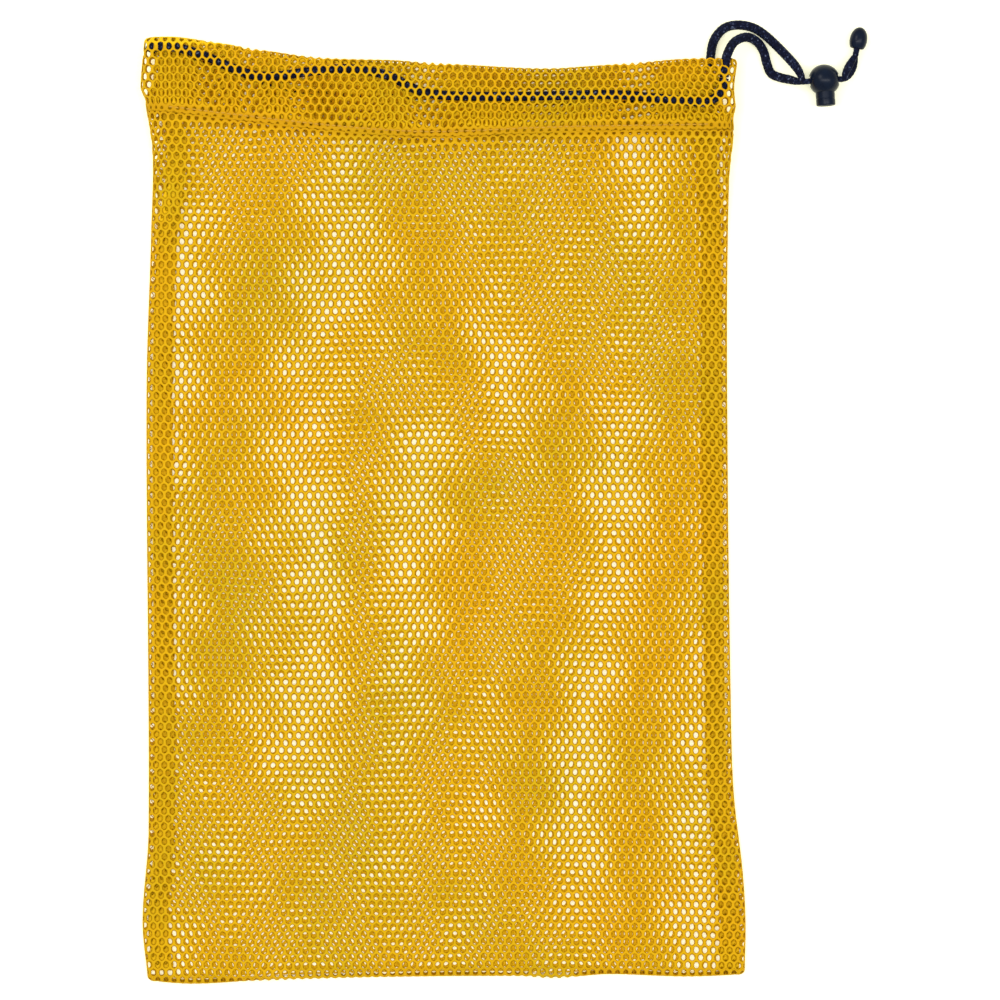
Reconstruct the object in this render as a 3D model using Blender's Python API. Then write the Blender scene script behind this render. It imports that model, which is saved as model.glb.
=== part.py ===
"""Mesh laundry bag with a drawstring, lying flat: +Y towards the mouth, +Z up, metres.

The bag is a flattened tube of open mesh.  At every height the tube's section is two
flat runs, front and back, joined by round ends at the two side seams.  Towards the
mouth the section grows taller, because each hem is a sleeve around the drawcord.
"""

import math

import bmesh
import bpy
import numpy as np
from mathutils import Matrix, Vector

MM = 0.001

# Outline of the bag lying flat, as hand-chosen points (mm)
LEFT_EDGE = [(-233, -148), (-205, -150.5), (-160, -147.5), (60, -148.5), (150, -146),
             (180, -147), (207, -151), (237, -149)]
RIGHT_EDGE = [(-233, 151), (-205, 151.5), (-180, 150), (-140, 145.5), (-90, 144),
              (30, 142.5), (130, 142.5), (165, 144.5), (190, 147.5), (211, 145.5), (226, 147.5)]
TOP_EDGE = [(-150, 236.5), (-130, 236), (-65, 226.5), (-20, 224.5), (40, 221), (60, 221),
            (100, 224), (130, 226), (148, 225.5)]
BOTTOM_EDGE = [(-150, -235), (-126, -236.8), (-98, -235.5), (-20, -233.3), (36, -233),
               (57, -234), (82, -232), (122, -233.2), (152, -232)]
STITCH_LINE = [(-150, 200.5), (-21, 187), (60, 189), (148, 190.5)]

# Cloth and cord (mm)
CLOTH = 0.8            # thickness of the knit mesh
CORD = 4.8             # drawcord diameter
CORD_IN_HEM = 4.6      # the sleeve presses it a little
GAP = 0.3              # room left between pieces that touch
MOUTH = 4.8            # height of the open mouth between the two hems
SLEEVE = CORD + 2 * CLOTH + 2 * GAP         # height of one hem around its cord
MOUTH_Z = SLEEVE + MOUTH / 2                # middle of the mouth above the floor
OPENS_OVER = 12.5      # the sleeve opens to its full height over this far from the stitch line
CORD_DEPTH = SLEEVE / 2                     # cord centre, out from the mouth's face
SEWN_MEAN = 4.05       # where the panel's cloth meets the sleeve, out from the mouth's face:
SEWN_SWING = 2.55      # mean - swing on the front, mean + swing on the back
FOLD_R = 1.9           # radius of the folded side edges and of the bottom fold
CROWN = 5.0            # how far the front panel stands above its edges
HEM_START = 0.86       # fraction of the panel's length where it starts to rise to the hem
FLAT_STEPS = 14        # columns of the cloth grid between the round ends
PANEL_ROWS = [0, 0.035, 0.075, 0.12, 0.19, 0.26, 0.33, 0.41, 0.49, 0.57, 0.65, 0.72, 0.79,
              HEM_START, 0.885, 0.91, 0.935, 0.965, 1]
SEAM_THREAD = 1.4      # overlock thread along each side seam
SEAM_ALLOWANCE = 10.5  # width of the turned-in seam edges
ALLOWANCE_THICK = 1.6
STITCH_THREAD = 0.8

# Cord lock (mm)
LOCK_CENTRE = (190.5, 215.3, 7.8)
LOCK_TURN = 4.0        # degrees that the cord hole is turned from +X towards +Y
BALL_R = 7.8
BORE_R = 4.95
BORE_END = 5.6
SPRING_POCKET_R = 2.4
SPRING_POCKET_END = 7.0
PLUNGER_R = 4.8
PLUNGER_OUT = 12.9     # how far the button's end stands from the ball's centre
PLUNGER_IN = 3.0
TRAVEL = 2.2
SLOT_HALF_HEIGHT = 3.6
SLOT_HALF_WIDTH = 1.85
SPRING_R = 1.7
SPRING_WIRE = 0.4
SPRING_TURNS = 3

# Cord end (mm)
BEAD_CENTRE = (207.8, 235.6, 4.4)
BEAD_LEAN = 79.0       # degrees that the bead's axis is turned from +X towards +Y
BEAD_R = 4.4
BEAD_HALF = 6.5
BEAD_BORE_R = 3.4
BEAD_BORE_END = 4.2
SQUEEZED = 3.0         # diameter of each strand where the lock and the bead squeeze it
KNOT_R = 2.9

# Route of the drawcord inside the two hems: x and y along the front, then along the back
FRONT_ROUTE = [(140.2, 215.6), (139.8, 213), (138.9, 210), (137.4, 207.4), (134.5, 205.2), (129, 203.7), (104, 206), (82, 207.5), (31.5, 206.5),
               (-6.5, 208), (-27.5, 217), (-45.5, 220.3), (-63.5, 219.3), (-85.5, 216.5),
               (-99, 218.5), (-118, 226.5), (-132, 230.8)]
LEFT_TURN_Y = 231.3
BACK_ROUTE = [(-132, 230.8), (-118, 225), (-90, 214), (-60, 209), (-10, 208), (50, 206),
              (100, 206), (118, 207), (128, 210), (132.4, 214), (133.3, 218)]

# Free strands from the hem to the bead: x, y, z and diameter
OUTER_STRAND = [(133.4, 218.6, 3.5, 4.6), (133.7, 225, 3.5, 4.6), (135, 233.8, 3, 4.8),
                (138, 239.2, 2.6, 4.8), (142.5, 242.5, 2.5, 4.8), (149, 243.3, 2.5, 4.8),
                (155.5, 241.8, 2.6, 4.8), (161, 238.3, 3, 4.8), (166.5, 233.2, 3.9, 4.8),
                (171, 228.4, 5.5, 4.8), (174.8, 224, 7.4, 4.8), (177.3, 220.4, 8.9, 4.4),
                (178.9, 217.2, 9.5, 3.7)]
INNER_STRAND = [(140.3, 216.3, 14, 4.6), (140.6, 221, 14.7, 4.6), (141.6, 227, 13.6, 4.8),
                (145.3, 233.9, 9.8, 4.8), (151.5, 236.9, 6.2, 4.8), (157, 234.9, 3.5, 4.8),
                (160.4, 230.2, 2.5, 4.8), (162, 224.4, 2.5, 4.8), (164.2, 219.2, 2.5, 4.8),
                (168.8, 217, 2.9, 4.8), (173, 216, 3.7, 4.7), (176.6, 215, 4.9, 4)]
LOCK_RUN = (-10.2, 9.8)  # straight, squeezed stretch of both strands through the lock
OUTER_END = [(201, 218.5, 9.1, 3.7), (202.6, 221.8, 8, 4.2), (204.7, 225.4, 6.7, 3.6)]
INNER_END = [(202.8, 217.8, 5, 3.6), (204.7, 221.2, 3.9, 4.2), (206, 225, 3, 3.5)]


def clear_scene():
    for thing in list(bpy.data.objects):
        bpy.data.objects.remove(thing, do_unlink=True)


def material(name, colour, roughness, metallic=0.0):
    made = bpy.data.materials.new(name)
    made.use_nodes = True
    made.diffuse_color = (*colour, 1.0)
    shader = made.node_tree.nodes["Principled BSDF"]
    shader.inputs["Base Color"].default_value = (*colour, 1.0)
    shader.inputs["Roughness"].default_value = roughness
    shader.inputs["Metallic"].default_value = metallic
    return made


def add_object(name, data, look):
    made = bpy.data.objects.new(name, data)
    bpy.context.scene.collection.objects.link(made)
    data.materials.append(look)
    return made


def smooth_path(points, longest=11.0, most_turn=16.0):
    """A Catmull-Rom curve through the points, sampled every so many mm or degrees of turn."""
    points = np.array(points, float)
    ends = np.vstack([2 * points[0] - points[1], points, 2 * points[-1] - points[-2]])
    fine = []
    for i in range(1, len(ends) - 2):
        a, b, c, d = ends[i - 1:i + 3]
        for t in np.linspace(0, 1, 24, endpoint=False):
            fine.append(0.5 * (2 * b + (c - a) * t + (2 * a - 5 * b + 4 * c - d) * t * t
                               + (3 * b - a - 3 * c + d) * t ** 3))
    fine.append(points[-1])
    kept = [fine[0]]
    heading = fine[1][:3] - fine[0][:3]
    for here, after in zip(fine[1:-1], fine[2:]):
        ahead = after[:3] - here[:3]
        cosine = np.dot(ahead, heading) / (np.linalg.norm(ahead) * np.linalg.norm(heading))
        turned_by = math.degrees(math.acos(min(1.0, max(-1.0, cosine))))
        gone = np.linalg.norm(here[:3] - kept[-1][:3])
        if gone > longest or (turned_by > most_turn and gone > 0.8):
            kept.append(here)
            heading = ahead
    if np.linalg.norm(fine[-1][:3] - kept[-1][:3]) < 1.0 and len(kept) > 1:
        kept.pop()
    return np.array([*kept, fine[-1]])


def edge_value(points, at):
    """Smooth value of an outline at one coordinate; the ends carry on level."""
    xs = [p[0] for p in points]
    at = min(max(at, xs[0]), xs[-1])
    i = max(1, min(len(xs) - 1, int(np.searchsorted(xs, at))))
    (x0, y0), (x1, y1) = points[i - 1], points[i]
    t = (at - x0) / (x1 - x0)
    before = points[max(i - 2, 0)]
    after = points[min(i + 1, len(points) - 1)]
    m0 = (y1 - before[1]) / (x1 - before[0]) * (x1 - x0)
    m1 = (after[1] - y0) / (after[0] - x0) * (x1 - x0)
    return ((2 * t ** 3 - 3 * t * t + 1) * y0 + (t ** 3 - 2 * t * t + t) * m0
            + (3 * t * t - 2 * t ** 3) * y1 + (t ** 3 - t * t) * m1)


def ease(t):
    t = min(max(t, 0.0), 1.0)
    return t * t * (3 - 2 * t)


def section(y, rise):
    """The tube's section where it has risen by a fraction towards the hem: the two end
    centres in x, their height, the end radius, and how far the front end is flattened."""
    radius = FOLD_R + rise * (MOUTH / 2 + SEWN_MEAN - FOLD_R)
    flatten = rise * SEWN_SWING
    inset = CLOTH / 2 + rise * (SLEEVE - SEWN_MEAN - CLOTH / 2)
    left = edge_value(LEFT_EDGE, y) + inset + radius
    right = edge_value(RIGHT_EDGE, y) - inset - radius
    return left, right, CLOTH / 2 + radius + flatten, radius, flatten


def crown(across, along, rise):
    """Height of the front panel above its edges: a low pillow with soft lengthwise folds."""
    lift = ease(along / 0.12) * (1 - rise)
    side = 1 - abs(across) ** 6
    folds = 0.5 * math.sin(7.3 * across + 1.6 * along + 0.6) + 0.35 * math.sin(9 * along + 2.2 * across)
    return lift * side * (CROWN + folds)


def split(t):
    """t as its place on the flat run, -1..1, and its angle round the end beyond that."""
    return max(-1.0, min(1.0, t)), max(abs(t) - 1, 0) * math.pi / 2


def plan_x(t, y, rise):
    """x of the flat run's point t at one height of the bag."""
    left, right, _, _, _ = section(y, rise)
    return (left + right) / 2 + split(t)[0] * (right - left) / 2


def panel_row(t, along):
    """y and rise of the panels' cloth at t, a fraction of the way up from the bottom fold."""
    bottom = edge_value(BOTTOM_EDGE, plan_x(t, -232, 0)) + CLOTH / 2 + FOLD_R + GAP / 2
    top = edge_value(STITCH_LINE, plan_x(t, 195, 1)) - GAP
    return bottom + along * (top - bottom), ease((along - HEM_START) / (1 - HEM_START))


def panel_point(t, along, face):
    """A point of the panel's cloth: t runs -1..1 over the flat run and beyond it round the
    ends (2 is the seam), along runs 0..1 from the bottom fold to the hem's stitch line."""
    y, rise = panel_row(t, along)
    _, _, centre_z, radius, flatten = section(y, rise)
    _, turn = split(t)
    reach = radius - face * flatten * math.cos(turn)
    x = plan_x(t, y, rise) + math.copysign(reach * math.sin(turn), t)
    z = centre_z + face * reach * math.cos(turn)
    if face > 0 and turn == 0:
        z += crown(t, along, rise)
    return x, y, z


def hem_point(t, y, depth, face):
    """A point of a hem: depth is measured out from the mouth's face, t as on a panel."""
    _, turn = split(t)
    reach = MOUTH / 2 + depth
    x = plan_x(t, y, 1.0) + math.copysign(reach * math.sin(turn), t)
    return x, y, MOUTH_Z + face * reach * math.cos(turn)


def sheet(name, rows, look, left_out=()):
    """A closed sheet of cloth, CLOTH thick, around a grid of middle-surface points."""
    mesh = bpy.data.meshes.new(name)
    width = len(rows[0])
    points = [Vector(p) * MM for row in rows for p in row]
    faces = []
    for j in range(len(rows) - 1):
        for i in range(width - 1):
            if (j, i) not in left_out:
                a = j * width + i
                faces.append((a, a + 1, a + width + 1, a + width))
    mesh.from_pydata(points, [], faces)
    shape = bmesh.new()
    shape.from_mesh(mesh)
    bmesh.ops.delete(shape, geom=[v for v in shape.verts if not v.link_faces], context="VERTS")
    shape.to_mesh(mesh)
    shape.free()
    made = add_object(name, mesh, look)
    thick = made.modifiers.new("Cloth", "SOLIDIFY")
    thick.thickness = CLOTH * MM
    thick.offset = 0
    thick.use_even_offset = True
    mesh.shade_smooth()
    mesh.set_sharp_from_angle(angle=math.radians(40))
    return made


def tube(name, points, look, sides_step=2):
    """A round cord or thread; each point is x, y, z and diameter."""
    curve = bpy.data.curves.new(name, "CURVE")
    curve.dimensions = "3D"
    widest = max(p[3] for p in points)
    curve.bevel_depth = widest / 2 * MM
    curve.bevel_resolution = sides_step
    curve.use_fill_caps = True
    run = curve.splines.new("POLY")
    run.points.add(len(points) - 1)
    for spot, (x, y, z, size) in zip(run.points, points):
        spot.co = (x * MM, y * MM, z * MM, 1)
        spot.radius = size / widest
    return add_object(name, curve, look)


def turned(name, profile, look, segments=28):
    """A solid of revolution about its local Y: the profile runs from axis to axis."""
    mesh = bpy.data.meshes.new(name)
    shape = bmesh.new()
    rings = []
    for radius, y in profile:
        if radius == 0:
            rings.append([shape.verts.new((0, y * MM, 0))])
            continue
        angles = [2 * math.pi * k / segments for k in range(segments)]
        rings.append([shape.verts.new((radius * MM * math.sin(a), y * MM, radius * MM * math.cos(a)))
                      for a in angles])
    for one, two in zip(rings, rings[1:]):
        for k in range(segments):
            corners = [one[k % len(one)], one[(k + 1) % len(one)],
                       two[(k + 1) % len(two)], two[k % len(two)]]
            shape.faces.new(list(dict.fromkeys(corners)))
    bmesh.ops.recalc_face_normals(shape, faces=shape.faces)
    shape.to_mesh(mesh)
    shape.free()
    mesh.shade_smooth()
    mesh.set_sharp_from_angle(angle=math.radians(35))
    return add_object(name, mesh, look)


def slot_cutter(name, look, y_low, y_high, half_height, half_length):
    """A rounded-end slot along local X, used to cut the cord hole."""
    mesh = bpy.data.meshes.new(name)
    shape = bmesh.new()
    bmesh.ops.create_cube(shape, size=1)
    bmesh.ops.scale(shape, verts=shape.verts, vec=(2 * half_length * MM, (y_high - y_low) * MM,
                                                   2 * half_height * MM))
    bmesh.ops.translate(shape, verts=shape.verts, vec=(0, (y_high + y_low) / 2 * MM, 0))
    long_edges = [e for e in shape.edges
                  if abs(e.verts[0].co.x - e.verts[1].co.x) > half_length * MM]
    bmesh.ops.bevel(shape, geom=long_edges, offset=1.2 * MM, segments=3, profile=0.5,
                    affect="EDGES", clamp_overlap=True)
    shape.to_mesh(mesh)
    shape.free()
    cutter = add_object(name, mesh, look)
    cutter.hide_render = True
    cutter.display_type = "WIRE"
    return cutter


def cut(target, cutter):
    hole = target.modifiers.new(cutter.name, "BOOLEAN")
    hole.operation = "DIFFERENCE"
    hole.object = cutter


def place(thing, centre, turn_degrees):
    thing.location = Vector(centre) * MM
    thing.rotation_euler = (0, 0, math.radians(turn_degrees))


def across_positions(arc_steps, flat_steps, end):
    """t values over a face: round end, flat run, round end, stopping just short of the seam."""
    flat = np.linspace(-1, 1, flat_steps + 1)
    arc = np.linspace(1, end, arc_steps + 1)[1:]
    return [float(t) for t in np.concatenate([-arc[::-1], flat, arc])]


def make_panels(look):
    short_of_seam = 2 - GAP / 2 / FOLD_R
    across = across_positions(3, FLAT_STEPS, short_of_seam)
    sheet("front_panel", [[panel_point(t, a, 1) for t in across] for a in PANEL_ROWS], look)
    sheet("back_panel", [[panel_point(t, a, -1) for t in across] for a in PANEL_ROWS], look)


def make_bottom_fold(look):
    """The mesh runs round the bottom in one piece: a half turn between the two panels."""
    stations = np.linspace(-1, 1, FLAT_STEPS + 1)
    rows = []
    for step in range(7):
        turn = math.pi * step / 6
        row = []
        for t in stations:
            x = plan_x(t, -232, 0)
            y = edge_value(BOTTOM_EDGE, x) + CLOTH / 2 + FOLD_R - GAP / 2
            row.append((x, y - FOLD_R * math.sin(turn), CLOTH / 2 + FOLD_R + FOLD_R * math.cos(turn)))
        rows.append(row)
    sheet("bottom_fold", rows, look)


def sleeve_profile(stitch, top, face, turn):
    """One hem's cloth from its sewn inner end, round the top fold, to its sewn outer end.
    Each entry is y and depth out from the mouth's face."""
    sewn_out = SEWN_MEAN - face * SEWN_SWING * math.cos(turn)
    sewn_in = sewn_out - CLOTH - GAP
    inner, outer = CLOTH / 2, SLEEVE - CLOTH / 2
    fold = (outer - inner) / 2
    centre_y = top - CLOTH / 2 - fold
    start = stitch + GAP / 2

    def blend(low, high, t):
        return low + (high - low) * ease(t)

    steps = (0, 0.4, 0.6, 0.8, 1)
    middle_y = (start + OPENS_OVER + centre_y) / 2
    inside = [(start + OPENS_OVER * t, blend(sewn_in, inner, (t - 0.35) / 0.65)) for t in steps]
    inside.append((middle_y, inner))
    around = [(centre_y + fold * math.sin(a), SLEEVE / 2 - fold * math.cos(a))
              for a in np.linspace(0, math.pi, 7)]
    outside = [(start + OPENS_OVER * t, blend(sewn_out, outer, (t - 0.35) / 0.65)) for t in reversed(steps)]
    return inside + around + [(middle_y, outer), *outside]


def make_hem(name, face, look, notch):
    """A sleeve of folded-over cloth.  In the notch the top fold is left open for the cord."""
    across = across_positions(5, FLAT_STEPS, 2 - GAP / 2 / (MOUTH / 2))
    columns = []
    for t in across:
        stitch = edge_value(STITCH_LINE, plan_x(t, 195, 1))
        top = edge_value(TOP_EDGE, plan_x(t, 225, 1))
        columns.append([hem_point(t, y, depth, face)
                        for y, depth in sleeve_profile(stitch, top, face, split(t)[1])])
    rows = [list(row) for row in zip(*columns)]
    left_out = {(j, i) for j in range(6, 12) for i, t in enumerate(across[:-1])
                if notch[0] <= t and across[i + 1] <= notch[1]}
    sheet(name, rows, look, left_out)


def make_seam(side, name, mesh_look, thread_look):
    """Turned-in seam edges and the overlock thread inside one side, bottom to mouth."""
    inner_rows, outer_rows, thread = [], [], []
    stations = [panel_row(side, along) for along in PANEL_ROWS[2:]]
    top = edge_value(TOP_EDGE, plan_x(side, 225, 1)) - SLEEVE / 2
    stations += [(y, 1.0) for y in np.linspace(stations[-1][0] + 8, top, 4)]
    for y, rise in stations:
        _, _, centre_z, _, _ = section(y, rise)
        centre_x = plan_x(side, y, rise)
        shift = 0.4 + 0.3 * rise
        thread.append((centre_x + side * shift, y, centre_z, SEAM_THREAD))
        first = SEAM_THREAD / 2 + GAP - shift
        inner_rows.append((centre_x - side * first, y, centre_z))
        outer_rows.append((centre_x - side * (first + SEAM_ALLOWANCE), y, centre_z))
    tube(name + "_thread", thread, thread_look, 1)
    strip = sheet(name + "_allowance", [inner_rows, outer_rows], mesh_look)
    strip.modifiers["Cloth"].thickness = ALLOWANCE_THICK * MM


def make_hem_stitching(name, face, look):
    """The line of thread that holds a hem's two layers together."""
    depth = SEWN_MEAN - SEWN_SWING + CLOTH / 2 + GAP + STITCH_THREAD / 2
    if face < 0:
        depth = SEWN_MEAN + SEWN_SWING - 2 * CLOTH - GAP - STITCH_THREAD / 2 - 0.1
    points = []
    for t in np.linspace(-0.97, 0.97, 17):
        y = edge_value(STITCH_LINE, plan_x(t, 195, 1)) + 2.6
        points.append((*hem_point(t, y, depth, face), STITCH_THREAD))
    tube(name, points, look, 1)


def in_sleeve(x, y, face):
    """A point of the cord in the middle of a hem's sleeve, which bends down at the ends."""
    reach = MOUTH / 2 + CORD_DEPTH
    left, right, _, _, _ = section(y, 1.0)
    over = max(x - right, left - x, 0) / reach
    return x, y, MOUTH_Z + face * reach * math.sqrt(1 - min(over, 1) ** 2), CORD_IN_HEM


def drawcord_points():
    """The cord's way through the front hem, round the left end and back through the back hem."""
    reach = MOUTH / 2 + CORD_DEPTH
    points = [in_sleeve(x, y, 1) for x, y in FRONT_ROUTE]
    left, _, _, _, _ = section(LEFT_TURN_Y, 1.0)
    for angle in (0, 45, 90, 135, 180):
        a = math.radians(angle)
        points.append((left - reach * math.sin(a), LEFT_TURN_Y,
                       MOUTH_Z + reach * math.cos(a), CORD_IN_HEM))
    points += [in_sleeve(x, y, -1) for x, y in BACK_ROUTE]
    return smooth_path(points)


def through_lock(side):
    """Both strands run straight and squeezed through the lock, one above the other."""
    turn = math.radians(LOCK_TURN)
    x0, y0, z0 = LOCK_CENTRE
    points = []
    for run in np.linspace(*LOCK_RUN, 5):
        points.append((x0 + run * math.cos(turn), y0 + run * math.sin(turn),
                       z0 + side * (SQUEEZED + GAP) / 2, SQUEEZED))
    return points


def into_bead(side):
    """The last stretch, into the bead's mouth and up to the knot."""
    lean = math.radians(BEAD_LEAN)
    x0, y0, z0 = BEAD_CENTRE
    spots = (-BEAD_HALF - 1.2, -4.2, -2.2)
    return [(x0 + run * math.cos(lean), y0 + run * math.sin(lean),
             z0 + side * (SQUEEZED + GAP) / 2, SQUEEZED - 0.1) for run in spots]


def make_strands(look):
    outer = OUTER_STRAND + through_lock(1) + OUTER_END + into_bead(1)
    inner = INNER_STRAND + through_lock(-1) + INNER_END + into_bead(-1)
    tube("outer_strand", smooth_path(outer, 9.0), look)
    tube("inner_strand", smooth_path(inner, 9.0), look)


def make_lock(look, steel):
    profile = [(0, -BALL_R)] + [(BALL_R * math.sin(a), -BALL_R * math.cos(a))
                                for a in np.linspace(0, math.pi, 15)[1:-1]] + [(0, BALL_R)]
    ball = turned("lock_barrel", profile, look)
    bore = turned("plunger_bore", [(0, -12), (BORE_R, -12), (BORE_R, BORE_END),
                                   (SPRING_POCKET_R, BORE_END),
                                   (SPRING_POCKET_R, SPRING_POCKET_END),
                                   (0, SPRING_POCKET_END)], look)
    bore.hide_render = True
    bore.display_type = "WIRE"
    slot = slot_cutter("cord_hole", look, -SLOT_HALF_WIDTH, SLOT_HALF_WIDTH, SLOT_HALF_HEIGHT, 10)
    cut(ball, bore)
    cut(ball, slot)
    plunger = turned("lock_plunger", [(0, -PLUNGER_OUT), (PLUNGER_R - 0.8, -PLUNGER_OUT),
                                      (PLUNGER_R - 0.2, -PLUNGER_OUT + 0.3),
                                      (PLUNGER_R, -PLUNGER_OUT + 0.9),
                                      (PLUNGER_R, PLUNGER_IN), (0, PLUNGER_IN)], look)
    window = slot_cutter("plunger_hole", look, -SLOT_HALF_WIDTH - TRAVEL, SLOT_HALF_WIDTH,
                         SLOT_HALF_HEIGHT, 10)
    cut(plunger, window)
    coil = []
    start, end = PLUNGER_IN + GAP + SPRING_WIRE / 2, SPRING_POCKET_END - GAP - SPRING_WIRE / 2
    for t in np.linspace(0, 1, 12 * SPRING_TURNS + 1):
        a = 2 * math.pi * SPRING_TURNS * t
        coil.append((SPRING_R * math.cos(a), start + (end - start) * t, SPRING_R * math.sin(a),
                     SPRING_WIRE))
    spring = tube("lock_spring", coil, steel, 1)
    for piece in (ball, bore, slot, plunger, window, spring):
        place(piece, LOCK_CENTRE, LOCK_TURN)


def make_bead(look, cord_look):
    """An egg-shaped cord end with a blind hole that hides the knot."""
    mouth = math.asin(BEAD_BORE_R / BEAD_R) * 1.02
    outside = [(BEAD_R * math.sin(a), BEAD_HALF * math.cos(a))
               for a in np.linspace(0, math.pi - mouth, 10)[1:]]
    profile = [(0, BEAD_HALF), *outside, (BEAD_BORE_R, -BEAD_HALF * 0.62),
               (BEAD_BORE_R, BEAD_BORE_END - 1), (BEAD_BORE_R - 0.8, BEAD_BORE_END), (0, BEAD_BORE_END)]
    bead = turned("cord_end_bead", profile, look, 24)
    knot_profile = [(KNOT_R * math.sin(a), 1.0 - 2.7 * math.cos(a))
                    for a in np.linspace(0, math.pi, 8)[1:-1]]
    knot = turned("cord_knot", [(0, 1.0 - 2.7), *knot_profile, (0, 1.0 + 2.7)], cord_look, 16)
    for piece in (bead, knot):
        place(piece, BEAD_CENTRE, BEAD_LEAN - 90)


def build():
    clear_scene()
    yellow = material("yellow_mesh", (0.82, 0.42, 0.02), 0.7)
    thread = material("yellow_thread", (0.78, 0.36, 0.015), 0.6)
    navy = material("navy_cord", (0.006, 0.01, 0.03), 0.75)
    plastic = material("navy_plastic", (0.006, 0.02, 0.035), 0.3)
    steel = material("spring_steel", (0.55, 0.55, 0.56), 0.3, 1.0)
    make_panels(yellow)
    make_bottom_fold(yellow)
    make_hem("front_hem", 1, yellow, (0.98, 3))
    make_hem("back_hem", -1, yellow, (0.85, 3))
    make_seam(-1, "left_seam", yellow, thread)
    make_seam(1, "right_seam", yellow, thread)
    make_hem_stitching("front_hem_stitching", 1, thread)
    make_hem_stitching("back_hem_stitching", -1, thread)
    tube("drawcord", drawcord_points(), navy)
    make_strands(navy)
    make_lock(plastic, steel)
    make_bead(plastic, navy)


build()
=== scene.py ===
"""Looks for the mesh laundry bag: knitted net, braided drawcord, cord lock and bead.

Lengths in the modelling code are millimetres in the row frame; add_mesh turns them into metres.
The outline and route points repeat the CAD source's, because this script reads only the frame.
"""

import math

import bpy
import numpy as np
from mathutils import Matrix, Vector


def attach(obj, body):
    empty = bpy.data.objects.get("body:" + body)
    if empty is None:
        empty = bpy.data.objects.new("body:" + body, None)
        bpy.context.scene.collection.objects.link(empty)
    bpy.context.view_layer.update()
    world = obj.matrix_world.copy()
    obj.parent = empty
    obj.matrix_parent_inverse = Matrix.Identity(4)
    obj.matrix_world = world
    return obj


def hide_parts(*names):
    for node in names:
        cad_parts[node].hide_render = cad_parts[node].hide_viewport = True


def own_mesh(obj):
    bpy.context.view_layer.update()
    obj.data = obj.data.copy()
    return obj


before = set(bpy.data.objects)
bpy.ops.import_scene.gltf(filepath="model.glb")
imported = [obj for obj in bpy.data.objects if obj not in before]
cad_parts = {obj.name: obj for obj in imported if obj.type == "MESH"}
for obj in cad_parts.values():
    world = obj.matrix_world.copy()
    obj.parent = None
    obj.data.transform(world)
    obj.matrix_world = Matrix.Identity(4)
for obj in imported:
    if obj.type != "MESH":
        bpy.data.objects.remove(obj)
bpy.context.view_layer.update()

MM = 0.001

# ---------------------------------------------------------------- dimensions shared with the CAD
LEFT_EDGE = [(-233, -148), (-205, -150.5), (-160, -147.5), (60, -148.5), (150, -146),
             (180, -147), (207, -151), (237, -149)]
RIGHT_EDGE = [(-233, 151), (-205, 151.5), (-180, 150), (-140, 145.5), (-90, 144),
              (30, 142.5), (130, 142.5), (165, 144.5), (190, 147.5), (211, 145.5), (226, 147.5)]
TOP_EDGE = [(-150, 236.5), (-130, 236), (-65, 226.5), (-20, 224.5), (40, 221), (60, 221),
            (100, 224), (130, 226), (148, 225.5)]
BOTTOM_EDGE = [(-150, -235), (-126, -236.8), (-98, -235.5), (-20, -233.3), (36, -233),
               (57, -234), (82, -232), (122, -233.2), (152, -232)]
STITCH_LINE = [(-150, 200.5), (-21, 187), (60, 189), (148, 190.5)]

CLOTH = 0.8
CORD = 4.8
CORD_IN_HEM = 4.6
GAP = 0.3
MOUTH = 4.8
SLEEVE = CORD + 2 * CLOTH + 2 * GAP
MOUTH_Z = SLEEVE + MOUTH / 2
OPENS_OVER = 12.5
CORD_DEPTH = SLEEVE / 2
SEWN_MEAN = 4.05
SEWN_SWING = 2.55
FOLD_R = 1.9
CROWN = 5.0
HEM_START = 0.86
SEAM_THREAD = 1.4
SEAM_ALLOWANCE = 10.5
PANEL_BOTTOM = -233    # mean y of the bottom edge
PANEL_LENGTH = 422     # mean length from the bottom edge to the stitch line
HEM_Y = 215.0          # a y in the middle of the hem
HEM_HALF = 148         # half the hem's width
HEM_TURN_R = MOUTH / 2 + 4.5   # mean radius of the hem's cloth round the mouth's ends

LOCK_CENTRE = (190.5, 215.3, 7.8)
LOCK_TURN = 4.0
BALL_R = 7.8
BORE_R = 4.95
BORE_END = 5.6
SPRING_POCKET_R = 2.4
SPRING_POCKET_END = 7.0
PLUNGER_R = 4.8
PLUNGER_OUT = 12.9
PLUNGER_IN = 3.0
TRAVEL = 2.2
SLOT_HALF_HEIGHT = 3.6
SLOT_HALF_WIDTH = 1.85
SPRING_R = 1.7
SPRING_WIRE = 0.4
SPRING_TURNS = 3

BEAD_CENTRE = (207.8, 235.6, 4.4)
BEAD_LEAN = 79.0
BEAD_R = 4.4
BEAD_HALF = 6.5
BEAD_BORE_R = 3.4
BEAD_BORE_END = 4.2
SQUEEZED = 3.0

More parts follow.
